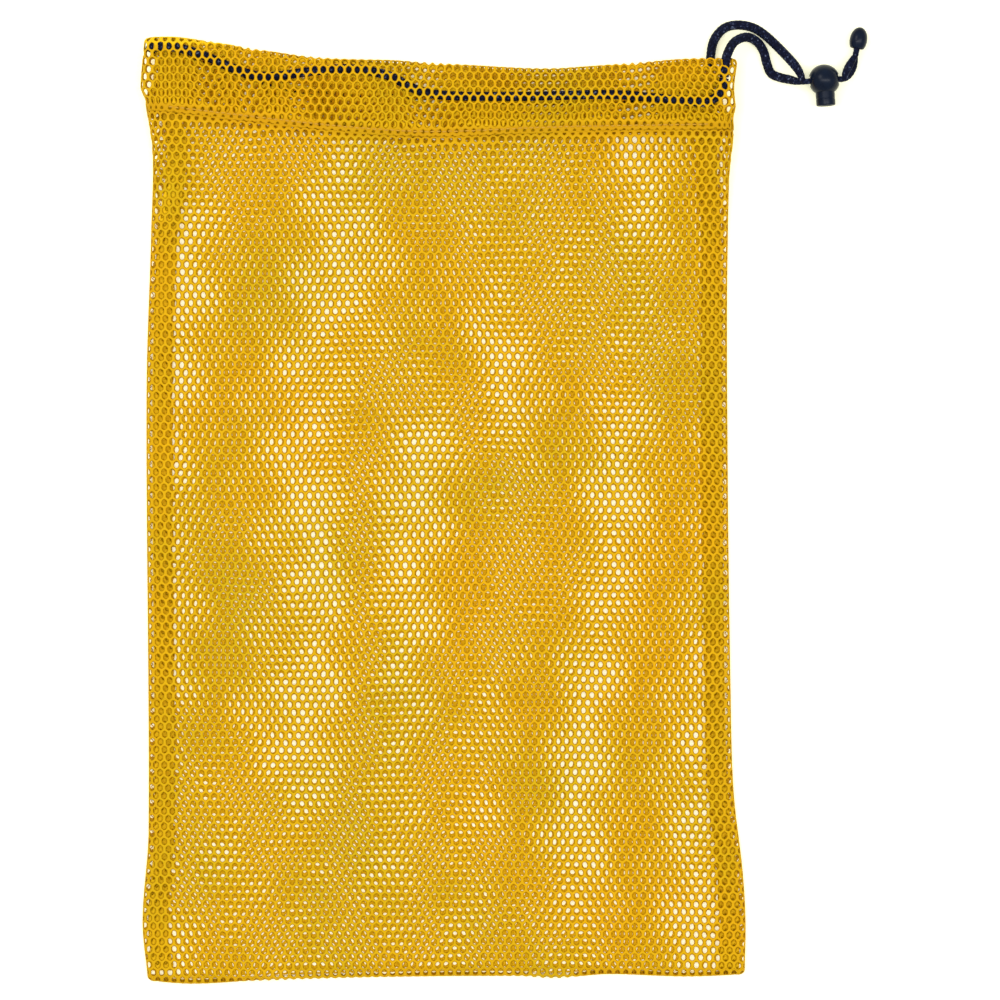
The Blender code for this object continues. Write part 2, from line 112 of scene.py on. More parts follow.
FRONT_ROUTE = [(140.2, 215.6), (139.8, 213), (138.9, 210), (137.4, 207.4), (134.5, 205.2),
               (129, 203.7), (104, 206), (82, 207.5), (31.5, 206.5), (-6.5, 208), (-27.5, 217),
               (-45.5, 220.3), (-63.5, 219.3), (-85.5, 216.5), (-99, 218.5), (-118, 226.5),
               (-132, 230.8)]
LEFT_TURN_Y = 231.3
BACK_ROUTE = [(-132, 230.8), (-118, 225), (-90, 214), (-60, 209), (-10, 208), (50, 206),
              (100, 206), (118, 207), (128, 210), (132.4, 214), (133.3, 218)]
OUTER_STRAND = [(133.4, 218.6, 3.5, 4.6), (133.7, 225, 3.5, 4.6), (135, 233.8, 3, 4.8),
                (138, 239.2, 2.6, 4.8), (142.5, 242.5, 2.5, 4.8), (149, 243.3, 2.5, 4.8),
                (155.5, 241.8, 2.6, 4.8), (161, 238.3, 3, 4.8), (166.5, 233.2, 3.9, 4.8),
                (171, 228.4, 5.5, 4.8), (174.8, 224, 7.4, 4.8), (177.3, 220.4, 8.9, 4.4),
                (178.9, 217.2, 9.5, 3.7)]
INNER_STRAND = [(140.3, 216.3, 14, 4.6), (140.6, 221, 14.7, 4.6), (141.6, 227, 13.6, 4.8),
                (145.3, 233.9, 9.8, 4.8), (151.5, 236.9, 6.2, 4.8), (157, 234.9, 3.5, 4.8),
                (160.4, 230.2, 2.5, 4.8), (162, 224.4, 2.5, 4.8), (164.2, 219.2, 2.5, 4.8),
                (168.8, 217, 2.9, 4.8), (173, 216, 3.7, 4.7), (176.6, 215, 4.9, 4)]
LOCK_RUN = (-10.2, 9.8)
OUTER_END = [(201, 218.5, 9.1, 3.7), (202.6, 221.8, 8, 4.2), (204.7, 225.4, 6.7, 3.6)]
INNER_END = [(202.8, 217.8, 5, 3.6), (204.7, 221.2, 3.9, 4.2), (206, 225, 3, 3.5)]

# ---------------------------------------------------------------- the net
PITCH = 4.15           # from one column of holes to the next
ROW = 3.85             # from one row of holes to the next; every other row is shifted half a pitch
WALL_HALF = 1.225      # half the length of the upright yarns between two holes
APEX = ROW - WALL_HALF
HOLE_HALF_WIDTH = 1.2
HOLE_HALF_HEIGHT = 1.68
YARN_HALF = 0.42       # half thickness of the knitted yarns
YARN_SHOULDER = 0.36
KEYS_PER_MM = 400      # every rim coordinate of the lattice is a whole number of 1/400 mm
UNEVEN = 0.055         # spread of the knit's points about their places
CLAMPED = 0.35         # a rim point moved further than this lies on the cloth's edge
LEAST_CELL = 0.12      # cells cut to a smaller share of a whole cell are left out
FOLD_TOP = 1.5         # cells up to this far above the fold's centre line are the bottom fold's
HEM_INSIDE_B = 232     # beyond this b the hem's cloth faces the mouth
CORD_CLEARANCE = 0.35  # between a cord and the knit that is pushed off it
NOTCH_REACH = 3.3      # cells of the fold nearer than this to a free strand are left out
IN_HEM = 120           # the first points of a free strand, where it may touch the hem
OVERLOCK_PITCH = 2.4
OVERLOCK_R = 0.46
THREAD_R = 0.22

CAMERA_HEIGHT = 2.5
CAMERA_X, CAMERA_Y = 28.5, 5.5
FIELD = 0.5            # width of the view at the bag, in metres
FLOOR_HALF = 3.0       # half the floor's width, in metres
FLOOR_DROP = 0.15      # how far the floor lies under the bag


# ================================================================ small numeric helpers
def edge_value(points, at):
    """Smooth values of an outline at many coordinates; the ends carry on level."""
    xs = np.array([p[0] for p in points], float)
    ys = np.array([p[1] for p in points], float)
    at = np.clip(np.asarray(at, float), xs[0], xs[-1])
    i = np.clip(np.searchsorted(xs, at), 1, len(xs) - 1)
    before, after = np.maximum(i - 2, 0), np.minimum(i + 1, len(xs) - 1)
    x0, x1, y0, y1 = xs[i - 1], xs[i], ys[i - 1], ys[i]
    m0 = (y1 - ys[before]) / (x1 - xs[before]) * (x1 - x0)
    m1 = (ys[after] - y0) / (xs[after] - x0) * (x1 - x0)
    t = (at - x0) / (x1 - x0)
    return ((2 * t ** 3 - 3 * t * t + 1) * y0 + (t ** 3 - 2 * t * t + t) * m0
            + (3 * t * t - 2 * t ** 3) * y1 + (t ** 3 - t * t) * m1)


def ease(t):
    t = np.clip(t, 0.0, 1.0)
    return t * t * (3 - 2 * t)


def lerp(low, high, t):
    return low + (high - low) * t


def always(value):
    """A function that gives every point the same value."""
    return lambda points: np.full(len(points), value)


def distances_along(line):
    """How far along a line each of its x, y, z points is."""
    return np.concatenate([[0], np.cumsum(np.linalg.norm(np.diff(line, axis=0), axis=1))])


def fine_path(points, step):
    """A Catmull-Rom curve through the points, sampled evenly every step mm."""
    points = np.array(points, float)
    ends = np.vstack([2 * points[0] - points[1], points, 2 * points[-1] - points[-2]])
    t = np.linspace(0, 1, 32, endpoint=False)[:, None]
    parts = []
    for a, b, c, d in zip(ends, ends[1:], ends[2:], ends[3:]):
        parts.append(0.5 * (2 * b + (c - a) * t + (2 * a - 5 * b + 4 * c - d) * t * t
                            + (3 * b - a - 3 * c + d) * t ** 3))
    dense = np.vstack([*parts, points[-1:]])
    gone = distances_along(dense[:, :3])
    at = np.linspace(0, gone[-1], max(4, int(round(gone[-1] / step)) + 1))
    return np.stack([np.interp(at, gone, dense[:, k]) for k in range(dense.shape[1])], axis=1)


def nearest_on_path(points, path):
    """For each point, the nearest of the path's points and the distance to it."""
    best = np.full(len(points), 1e9)
    where = np.zeros(len(points), int)
    for start in range(0, len(points), 20000):
        block = points[start:start + 20000]
        gaps = ((block[:, None, :] - path[None, :, :]) ** 2).sum(2)
        where[start:start + 20000] = gaps.argmin(1)
        best[start:start + 20000] = np.sqrt(gaps.min(1))
    return where, best


# ================================================================ the bag's surfaces
def section(y, rise):
    """The tube's section, as in the CAD: end centres, their height, end radius, flattening."""
    radius = FOLD_R + rise * (MOUTH / 2 + SEWN_MEAN - FOLD_R)
    flatten = rise * SEWN_SWING
    inset = CLOTH / 2 + rise * (SLEEVE - SEWN_MEAN - CLOTH / 2)
    left = edge_value(LEFT_EDGE, y) + inset + radius
    right = edge_value(RIGHT_EDGE, y) - inset - radius
    return left, right, CLOTH / 2 + radius + flatten, radius, flatten


def side_rise(b):
    """How far the section has opened towards the mouth at y = b, from 0 to 1."""
    return ease(((b - PANEL_BOTTOM) / PANEL_LENGTH - HEM_START) / (1 - HEM_START))


def crown(across, along, rise):
    """Height of the front panel above its edges: a low pillow with soft lengthwise folds."""
    lift = ease(along / 0.12) * (1 - rise)
    side = 1 - np.abs(across) ** 6
    folds = (0.5 * np.sin(7.3 * across + 1.6 * along + 0.6)
             + 0.35 * np.sin(9 * along + 2.2 * across))
    ripples = (0.42 * np.sin(13 * across + 3.1 * np.sin(5.5 * along) + 1.1)
               + 0.3 * np.sin(21 * along + 6 * across) + 0.22 * np.sin(31 * across - 9 * along))
    return lift * side * (CROWN + folds + ripples)


def panel_limits(a):
    """b of the bottom fold's centre line and of the hem's stitch line, at x = a."""
    return (edge_value(BOTTOM_EDGE, a) + CLOTH / 2 + FOLD_R, edge_value(STITCH_LINE, a))


def panel_sides(b):
    """The least and greatest a of a panel's cloth: out along the flat run and round the ends."""
    rise = side_rise(b)
    left, right, _, radius, _ = section(b, rise)
    arc = radius * math.pi / 2 - GAP / 2
    return left - arc, right + arc


def panel_surface(flat, face):
    """The place of flat cloth points (a, b) on the front (face 1) or back (face -1) panel.
    On the front, b below the bottom fold's centre line runs round the fold."""
    a, b = flat[:, 0], flat[:, 1]
    low, high = panel_limits(a)
    y = np.maximum(b, low)
    along = (y - low) / (high - low)
    rise = ease((along - HEM_START) / (1 - HEM_START))
    left, right, centre_z, radius, flatten = section(y, rise)
    over = np.maximum(a - right, left - a)
    turn = np.clip(over / radius, 0, math.pi / 2 + 0.2)
    side = np.sign(a - (left + right) / 2)
    reach = radius - face * flatten * np.cos(turn)
    x = np.clip(a, left, right) + side * reach * np.sin(turn)
    z = centre_z + face * reach * np.cos(turn)
    if face > 0:
        across = np.clip((a - (left + right) / 2) / ((right - left) / 2), -1, 1)
        z = z + crown(across, along, rise)
        fold = np.clip((low - b) / FOLD_R, 0, math.pi)
        y = y - FOLD_R * np.sin(fold) * np.cos(turn)
        z = np.where(fold > 0, CLOTH / 2 + FOLD_R + FOLD_R * np.cos(fold) * np.cos(turn), z)
    return np.stack([x, y, z], axis=1)


def cord_in_hem():
    """The drawcord's line through the front hem, round the left end and through the back hem."""
    reach = MOUTH / 2 + CORD_DEPTH

    def inside(route, face):
        spots = []
        for x, y in route:
            left, right, _, _, _ = section(y, 1.0)
            over = min(max(x - right, left - x, 0) / reach, 1)
            spots.append((x, y, MOUTH_Z + face * reach * math.sqrt(1 - over ** 2), CORD_IN_HEM))
        return spots

    left = float(section(LEFT_TURN_Y, 1.0)[0])
    turn = [(left - reach * math.sin(math.radians(k)), LEFT_TURN_Y,
             MOUTH_Z + reach * math.cos(math.radians(k)), CORD_IN_HEM)
            for k in (0, 45, 90, 135, 180)]
    return inside(FRONT_ROUTE, 1) + turn + inside(BACK_ROUTE, -1)


def through_lock(side):
    turn = math.radians(LOCK_TURN)
    x0, y0, z0 = LOCK_CENTRE
    return [(x0 + run * math.cos(turn), y0 + run * math.sin(turn),
             z0 + side * (SQUEEZED + GAP) / 2, SQUEEZED) for run in np.linspace(*LOCK_RUN, 5)]


def into_bead(side):
    lean = math.radians(BEAD_LEAN)
    x0, y0, z0 = BEAD_CENTRE
    return [(x0 + run * math.cos(lean), y0 + run * math.sin(lean),
             z0 + side * (SQUEEZED + GAP) / 2, SQUEEZED - 0.1)
            for run in (-BEAD_HALF - 1.2, -4.2, -2.2)]


HEM_CORD = fine_path(cord_in_hem(), 0.6)
OUTER_LINE = fine_path(OUTER_STRAND + through_lock(1) + OUTER_END + into_bead(1), 0.4)
INNER_LINE = fine_path(INNER_STRAND + through_lock(-1) + INNER_END + into_bead(-1), 0.4)
CORD_PLAN = {1: fine_path(FRONT_ROUTE, 2.5), -1: fine_path(BACK_ROUTE, 2.5)}

LOOSE_DEPTH = 3.5      # how far the hem's loose layer stands off where there is no cord
DRAPE = 6.0            # how quickly it sinks beside the cord
HEM_ROW_SHIFT = {1: 0.5, -1: -2.4}   # so that two rows of holes lie over the front cord


def hem_depths(x, y, turn, face):
    """Depth of a hem's two layers out from the mouth's face: (mouth side, far side)."""
    _, far = nearest_on_path(np.stack([x, y], axis=1), CORD_PLAN[face][:, :2])
    near_cord = np.maximum(np.exp(-(np.maximum(far - 1.5, 0) / DRAPE) ** 2), np.sin(turn) ** 0.7)
    inner, outer = CLOTH / 2, SLEEVE - CLOTH / 2
    loose = 0.25 * np.sin(x / 9.0 + 1.3) + 0.2 * np.sin(x / 4.7 + y / 6.0)
    if face > 0:
        return np.full(len(x), inner), lerp(LOOSE_DEPTH + loose, outer, near_cord)
    return lerp(SLEEVE - LOOSE_DEPTH + loose, inner, near_cord), np.full(len(x), outer)


def hem_layout(a, face):
    """For each a: b where the outside starts, where the fold starts, the fold's radius."""
    top = edge_value(TOP_EDGE, a) - CLOTH / 2
    turn = np.zeros(len(a))
    radius = np.full(len(a), 1.6)      # a first guess, which three rounds settle
    for _ in range(3):
        inner, outer = hem_depths(a, top - radius, turn, face)
        radius = (outer - inner) / 2
    return edge_value(STITCH_LINE, a), top - radius, radius


def hem_sides(face):
    """The least and greatest a of a hem's cloth."""
    def limits(b):
        left, right, _, _, _ = section(np.full(len(b), HEM_Y), 1.0)
        arc = HEM_TURN_R * math.pi / 2 - GAP / 2
        return left - arc, right + arc
    return limits


def hem_surface(flat, face):
    """The place of flat cloth points (a, b) on a hem: b runs up the outside from the stitch
    line, round the top fold and down the inside to the stitch line."""
    a, b = flat[:, 0], flat[:, 1]
    left, right, _, _, _ = section(np.full(len(a), HEM_Y), 1.0)
    start, fold_y, radius = hem_layout(np.clip(a, left, right), face)
    angle = np.clip((b - fold_y) / radius, 0, math.pi)
    inside = b - fold_y > math.pi * radius
    y = np.where(inside, fold_y - (b - fold_y - math.pi * radius), np.minimum(b, fold_y))
    left, right, _, _, _ = section(y, 1.0)
    over = np.maximum(a - right, left - a)
    turn = np.clip(over / HEM_TURN_R, 0, math.pi / 2)
    side = np.sign(a - (left + right) / 2)
    inner, outer = hem_depths(np.clip(a, left, right), y, turn, face)
    opened = ease(((y - start) / OPENS_OVER - 0.35) / 0.65)
    sewn_out = SEWN_MEAN - face * SEWN_SWING * np.cos(turn)
    outer = lerp(sewn_out, outer, opened)
    inner = lerp(sewn_out - CLOTH - GAP, inner, opened)
    middle, swing = (outer + inner) / 2, (outer - inner) / 2
    depth = middle + swing * np.cos(angle)
    y = y + np.where(angle > 0, radius * np.sin(angle), 0)
    reach = MOUTH / 2 + depth
    x = np.clip(a, left, right) + side * reach * np.sin(turn)
    return np.stack([x, y, MOUTH_Z + face * reach * np.cos(turn)], axis=1)


def allowance_surface(side, lift):
    """A layer of one side's turned-in seam edge: a runs inwards from the seam."""
    def surface(flat):
        a, b = flat[:, 0], flat[:, 1]
        rise = side_rise(b)
        left, right, centre_z, _, _ = section(b, rise)
        first = SEAM_THREAD / 2 + GAP - (0.4 + 0.3 * rise)
        edge = np.where(side > 0, right, left)
        ruffle = 0.25 * np.sin(b / 7.0 + side) * (a / SEAM_ALLOWANCE)
        return np.stack([edge - side * (first + a), b, centre_z + lift + ruffle], axis=1)
    return surface


# ================================================================ meshes
def add_mesh(name, points, faces, look, attributes=None, smooth=True):
    """A mesh object from points in mm and faces of three or four corners."""
    mesh = bpy.data.meshes.new(name)
    sizes = np.array([len(f) for f in faces], np.int32) if isinstance(faces, list) else None
    if sizes is None:
        quads = faces
        repeated = (quads == np.roll(quads, -1, axis=1))
        plain = quads[~repeated.any(1)]
        some = quads[repeated.sum(1) == 1]
        kept = ~repeated[repeated.sum(1) == 1]
        triangles = some[kept].reshape(-1, 3)
        corners = np.concatenate([plain.ravel(), triangles.ravel()])
        sizes = np.repeat([4, 3], [len(plain), len(triangles)]).astype(np.int32)
    else:
        corners = np.concatenate([np.array(f) for f in faces])
    mesh.vertices.add(len(points))
    mesh.vertices.foreach_set("co", (np.asarray(points, float) * MM).astype(np.float32).ravel())
    mesh.loops.add(len(corners))
    mesh.loops.foreach_set("vertex_index", corners.astype(np.int32))
    mesh.polygons.add(len(sizes))
    starts = np.concatenate([[0], np.cumsum(sizes)[:-1]]).astype(np.int32)
    mesh.polygons.foreach_set("loop_start", starts)
    mesh.update(calc_edges=True)
    for key, values in (attributes or {}).items():
        layer = mesh.attributes.new(key, "FLOAT", "POINT")
        layer.data.foreach_set("value", values.astype(np.float32))
    if smooth:
        mesh.shade_smooth()
    made = bpy.data.objects.new(name, mesh)
    bpy.context.scene.collection.objects.link(made)
    mesh.materials.append(look)
    return made


def cell_ring():
    """A cell's twelve rim points about its centre, anticlockwise: corners and mid-edges."""
    half = PITCH / 2
    corners = np.array([(0, APEX), (-half, WALL_HALF), (-half, -WALL_HALF), (0, -APEX),
                        (half, -WALL_HALF), (half, WALL_HALF)])
    return np.stack([corners, (corners + np.roll(corners, -1, axis=0)) / 2], axis=1).reshape(-1, 2)


RING = cell_ring()


def hole_shares():
    """How far out along each rim direction the hole reaches, as a share of the rim's distance."""
    angle = np.arctan2(RING[:, 1], RING[:, 0])
    reach = 1 / np.sqrt((np.cos(angle) / HOLE_HALF_WIDTH) ** 2
                        + (np.sin(angle) / HOLE_HALF_HEIGHT) ** 2)
    return reach / np.linalg.norm(RING, axis=1)


HOLE_SHARE = hole_shares()


def lattice(a_low, a_high, b_low, b_high):
    """Centres of all the cells in a rectangle of flat cloth."""
    cells = []
    for r in range(int(b_low // ROW) - 1, int(b_high // ROW) + 3):
        for c in range(int(a_low // PITCH) - 1, int(a_high // PITCH) + 3):
            cells.append(((c + 0.5 * (r % 2)) * PITCH, r * ROW))
    return np.array(cells)


def ring_areas(rings):
    """Areas of many closed rings of flat points."""
    after = np.roll(rings, -1, axis=1)
    return 0.5 * (rings[..., 0] * after[..., 1] - after[..., 0] * rings[..., 1]).sum(1)


def net(name, cells, warp, clamp, surface, look, seed, hole_size, light_and_shade, apart=None, drop=None):
    """A closed piece of hexagonal knit, and its flat cut: width, length and outline's area in mm.
    Cells are flat lattice places; warp bends the lattice, clamp keeps it on the cloth, surface
    puts flat points in space."""
    rng = np.random.default_rng(seed)
    ring = cells[:, None, :] + RING[None, :, :]
    keys = np.round(ring * KEYS_PER_MM).astype(np.int64).reshape(-1, 2)
    _, first, index = np.unique(keys, axis=0, return_index=True, return_inverse=True)
    index = index.reshape(-1, 12)
    bent = warp(ring.reshape(-1, 2)[first])
    flat = clamp(bent + rng.normal(0, UNEVEN, bent.shape))
    moved = (np.abs(flat - bent) > CLAMPED).any(1)[index]
    corners = flat[index]
    centre = corners.mean(1)
    good = ring_areas(corners) > LEAST_CELL * PITCH * ROW
    if drop is not None:
        good &= ~drop(centre)
    index, moved, centre = index[good], moved[good], centre[good]
    used, index = np.unique(index, return_inverse=True)
    index = index.reshape(-1, 12)
    flat = flat[used]
    share = HOLE_SHARE * np.where(moved.any(1), 0.8, 1.0)[:, None]
    share = share * (1 + rng.normal(0, 0.03, (len(index), 1)))
    share = share * hole_size(centre)[:, None]
    share = np.clip(share, 0.12, 0.86)[..., None]
    spokes = flat[index] - centre[:, None, :]
    hole = centre[:, None, :] + share * spokes
    cut = (*(flat.max(0) - flat.min(0)), ring_areas(flat[index]).sum())
    middle = centre[:, None, :] + (0.5 + 0.5 * share) * spokes
    rims = len(flat)
    places = np.concatenate([flat, middle.reshape(-1, 2), hole.reshape(-1, 2)])
    spots = surface(places)
    step = 0.15
    along_a = surface(places + (step, 0)) - surface(places - (step, 0))
    along_b = surface(places + (0, step)) - surface(places - (0, step))
    normal = np.cross(along_a, along_b)
    normal /= np.maximum(np.linalg.norm(normal, axis=1), 1e-9)[:, None]
    holes_at = rims + 12 * len(index)
    points = np.concatenate([
        spots[:rims] + YARN_HALF * normal[:rims],
        spots[rims:holes_at] + YARN_SHOULDER * normal[rims:holes_at],
        spots[holes_at:],
        spots[:rims] - YARN_HALF * normal[:rims]])
    if apart is not None:
        points = apart(points)
    order = np.arange(12 * len(index)).reshape(-1, 12)
    mid, edge, low = rims + order, holes_at + order, holes_at + order.size

    def band(outer, inner):
        return np.stack([outer, np.roll(outer, -1, axis=1), np.roll(inner, -1, axis=1), inner],
                        axis=2).reshape(-1, 4)

    quads = [band(index, mid), band(mid, edge), band(edge, low + index)]
    one, two = index.ravel(), np.roll(index, -1, axis=1).ravel()
    border = ~np.isin(one * rims + two, two * rims + one)
    quads.append(np.stack([two[border], one[border], low + one[border], low + two[border]], axis=1))
    # Painted light and shade: values under 1 paint the knit darker, values over 1 paint it lighter.
    painted_light_and_shade = light_and_shade(places)
    painted_light_and_shade = np.concatenate([painted_light_and_shade, painted_light_and_shade[:rims]])
    # Painted shade: height is 1 on the yarns' tops and falls to 0 at each hole's edge, where the
    # material paints the knit darker.
    depth = np.concatenate([np.ones(rims), np.full(12 * len(index), 0.8),
                            np.zeros(12 * len(index)), np.full(rims, 0.5)])
    piece = add_mesh(name, points, np.concatenate(quads), look, {"painted_light_and_shade": painted_light_and_shade, "height": depth})
    return piece, cut


def tube(name, line, radius_of, sides, look):
    """A closed tube along a line of x, y, z points; radius_of(share of turn, distance) is in mm."""
    spots = line[:, :3]
    ahead = np.gradient(spots, axis=0)
    ahead /= np.linalg.norm(ahead, axis=1)[:, None]
    up = np.zeros_like(ahead)
    hint = np.array([0.0, 0.0, 1.0]) if abs(ahead[0, 2]) < 0.9 else np.array([1.0, 0.0, 0.0])
    for i, way in enumerate(ahead):
        hint = hint - way * np.dot(hint, way)
        hint = hint / np.linalg.norm(hint)
        up[i] = hint
    across = np.cross(ahead, up)
    gone = distances_along(spots)
    angle = np.linspace(0, 2 * math.pi, sides, endpoint=False)
    reach = radius_of(angle[None, :], gone[:, None])
    points = (spots[:, None, :] + reach[..., None] * (np.cos(angle)[None, :, None] * up[:, None, :]
              - np.sin(angle)[None, :, None] * across[:, None, :])).reshape(-1, 3)
    rings = np.arange(len(spots) * sides).reshape(len(spots), sides)
    a, b = rings[:-1], rings[1:]
    quads = np.stack([a, np.roll(a, -1, 1), np.roll(b, -1, 1), b], axis=2).reshape(-1, 4)[:, ::-1]
    points = np.vstack([points, spots[:1] - ahead[:1] * 0.4, spots[-1:] + ahead[-1:] * 0.4])
    first, last = np.full(sides, len(points) - 2), np.full(sides, len(points) - 1)
    caps = [np.stack([first, first, rings[0], np.roll(rings[0], -1)], axis=1),
            np.stack([last, last, np.roll(rings[-1], -1), rings[-1]], axis=1)]
    return add_mesh(name, points, np.concatenate([quads, *caps]), look)


def round_wire(radius):
    """The same radius all round a tube and all along it."""
    return lambda angle, gone: radius + 0 * angle + 0 * gone


def braid(diameter_at, carriers=8, pitch=2.1, bump=0.11):
    """Radius of a braided cord: a chequerboard of yarn bundles on a round core."""
    def radius_of(angle, gone):
        bumps = np.cos(carriers * angle) + np.cos(2 * math.pi * gone / pitch)
        return diameter_at(gone) / 2 - bump + bump * 0.5 * bumps
    return radius_of


def turned(name, profile, look, segments=64, around="Y"):
    """A solid of revolution: the profile of (radius, height) runs from axis to axis."""
    points, rings = [], []
    for radius, height in profile:
        if radius == 0:
            rings.append([len(points)])
            points.append((0, 0, height))
            continue
        rings.append(list(range(len(points), len(points) + segments)))
        for k in range(segments):
            a = 2 * math.pi * k / segments
            points.append((radius * math.cos(a), radius * math.sin(a), height))
    faces = []
    for one, two in zip(rings, rings[1:]):
        for k in range(segments):
            corners = [one[k % len(one)], one[(k + 1) % len(one)],
                       two[(k + 1) % len(two)], two[k % len(two)]]
            faces.append(list(dict.fromkeys(corners)))
    points = np.array(points, float)
    if around == "Y":
        points = points[:, [1, 2, 0]]
    return add_mesh(name, points, faces, look)


def rounded_slot(name, stations, half_length, look):
    """A rounded-end slot along X whose section grows by each station's flare."""
    points, sides = [], 40
    for x, low, high, half, flare in stations:
        middle, wide = (low + high) / 2, (high - low) / 2 + flare
        tall, corner = half + flare, 1.2 + flare
        for k in range(sides):
            a = 2 * math.pi * k / sides
            y = math.copysign(wide - corner, math.cos(a)) + corner * math.cos(a)
            z = math.copysign(tall - corner, math.sin(a)) + corner * math.sin(a)
            points.append((x * half_length, middle + y, z))
    rings = [list(range(i * sides, (i + 1) * sides)) for i in range(len(stations))]
    faces = [rings[0][::-1], rings[-1]]
    for one, two in zip(rings, rings[1:]):
        for k in range(sides):
            faces.append([one[k], one[(k + 1) % sides], two[(k + 1) % sides], two[k]])
    return add_mesh(name, np.array(points), faces, look)


def carve(target, cutters):
    """Cuts the cutters out of the target and removes them."""
    for cutter in cutters:
        cut = target.modifiers.new(cutter.name, "BOOLEAN")
        cut.operation = "DIFFERENCE"
        cut.object = cutter
        cut.solver = "EXACT"
    bpy.context.view_layer.update()
    evaluated = target.evaluated_get(bpy.context.evaluated_depsgraph_get())
    made = bpy.data.meshes.new_from_object(evaluated)
    target.modifiers.clear()
    target.data = made
    made.shade_smooth()
    made.set_sharp_from_angle(angle=math.radians(30))
    for cutter in cutters:
        bpy.data.objects.remove(cutter)


def placed(thing, centre, turn_degrees):
    """Moves a piece's mesh to its place, so that its object stays at the origin."""
    thing.data.transform(Matrix.Translation(Vector(centre) * MM)
                         @ Matrix.Rotation(math.radians(turn_degrees), 4, "Z"))


# ================================================================ materials
class Look:
    """A Principled material with short calls for the nodes around it."""

    def __init__(self, name, **constants):
        self.material = bpy.data.materials.new(name)
        self.material.use_nodes = True
        self.tree = self.material.node_tree
        self.shader = self.tree.nodes["Principled BSDF"]
        self.where = self.node("ShaderNodeTexCoord").outputs["Object"]
        for socket, value in constants.items():
            self.shader.inputs[socket.replace("_", " ")].default_value = value

    def node(self, kind, **settings):
        made = self.tree.nodes.new(kind)
        for key, value in settings.items():
            setattr(made, key, value)
        return made

    def link(self, start, end):
        self.tree.links.new(start, end)

    def noise(self, scale, detail, rough=0.55):
        made = self.node("ShaderNodeTexNoise")
        made.inputs["Scale"].default_value = scale
        made.inputs["Detail"].default_value = detail
        made.inputs["Roughness"].default_value = rough
        self.link(self.where, made.inputs["Vector"])
        return made.outputs["Fac"]

    def cells(self, scale, output="Distance"):
        made = self.node("ShaderNodeTexVoronoi")
        made.inputs["Scale"].default_value = scale
        self.link(self.where, made.inputs["Vector"])
        return made.outputs[output]

    def ramp(self, value, stops):
        made = self.node("ShaderNodeValToRGB")
        stops_at = made.color_ramp.elements
        while len(stops_at) < len(stops):
            stops_at.new(0.5)
        for stop, (at, colour) in zip(stops_at, stops):
            stop.position = at
            stop.color = (*colour, 1)
        self.link(value, made.inputs["Fac"])
        return made.outputs["Color"]

    def spread(self, value, low, high, start=0.0, end=1.0):
        made = self.node("ShaderNodeMapRange")
        for key, number in (("From Min", start), ("From Max", end),
                            ("To Min", low), ("To Max", high)):
            made.inputs[key].default_value = number
        self.link(value, made.inputs["Value"])
        return made.outputs["Result"]

    def mix(self, share, below, colour):
        made = self.node("ShaderNodeMix", data_type="RGBA")
        self.link(share, made.inputs["Factor"])
        self.link(below, made.inputs["A"])
        made.inputs["B"].default_value = colour
        return made.outputs["Result"]

    def add(self, one, two):
        made = self.node("ShaderNodeMath", operation="ADD")
        self.link(one, made.inputs[0])
        self.link(two, made.inputs[1])
        return made.outputs[0]

    def attribute(self, name):
        return self.node("ShaderNodeAttribute", attribute_name=name).outputs["Fac"]

    def bump(self, height, distance, strength=1.0):
        made = self.node("ShaderNodeBump")
        made.inputs["Distance"].default_value = distance
        made.inputs["Strength"].default_value = strength
        self.link(height, made.inputs["Height"])
        self.link(made.outputs["Normal"], self.shader.inputs["Normal"])

    def paint(self, colour, roughness=None):
        self.link(colour, self.shader.inputs["Base Color"])
        if roughness is not None:
            self.link(roughness, self.shader.inputs["Roughness"])
        return self.material


def mesh_look():
    """Golden knitted polyester, mottled, with a fine knit relief. Painted shade darkens the yarns
    towards each hole's edge, the seam bands, the hem's stitch line and the bottom fold; painted
    light lightens the layers that lie under others.
    """
    look = Look("yellow_knit", Specular_IOR_Level=0.08)
    broad = look.noise(13, 3)
    fine = look.noise(420, 2)
    golden = look.ramp(broad, [(0.32, (0.57, 0.375, 0.003)), (0.5, (0.655, 0.38, 0.002)),
                               (0.68, (0.70, 0.37, 0.0015))])
    flecked = look.mix(look.spread(fine, 0.0, 0.45, 0.45, 0.75), golden, (0.6, 0.29, 0.002, 1))
    # Painted shade: the knit is painted darker towards each hole's edge, following the height
    # attribute.
    hole_edge_shade = look.mix(look.spread(look.attribute("height"), 0.5, 0.0, 0.0, 0.75), flecked,
                    (0.38, 0.19, 0.0008, 1))
    # Painted shade where the per-point light-and-shade value is under 1: on the seam bands, along
    # the hem's stitch line and on the bottom fold.
    shaded_bands = look.mix(look.spread(look.attribute("painted_light_and_shade"), 1.0, 0.0), hole_edge_shade, (0.47, 0.225, 0.001, 1))
    # Painted light where that value is over 1: the back layers, the hem's inner layers and the seam
    # allowances are painted lighter, so that they look as lit as the front layer.
    lit_under_layers = look.mix(look.spread(look.attribute("painted_light_and_shade"), 0.0, 1.0, 1.0, 2.0), shaded_bands,
                     (0.97, 0.6, 0.006, 1))
    rough = look.spread(fine, 0.5, 0.72)
    loops = look.add(look.cells(1500), look.noise(2600, 2))
    look.bump(loops, 0.00016, 0.7)
    return look.paint(lit_under_layers, rough)


def thread_look():
    look = Look("yellow_sewing_thread", Sheen_Weight=0.1, Specular_IOR_Level=0.5)
    twist = look.noise(1800, 2)
    colour = look.ramp(twist, [(0.35, (0.5, 0.25, 0.002)), (0.7, (0.66, 0.36, 0.006))])
    look.bump(twist, 0.0001, 0.6)
    return look.paint(colour, look.spread(twist, 0.4, 0.6))


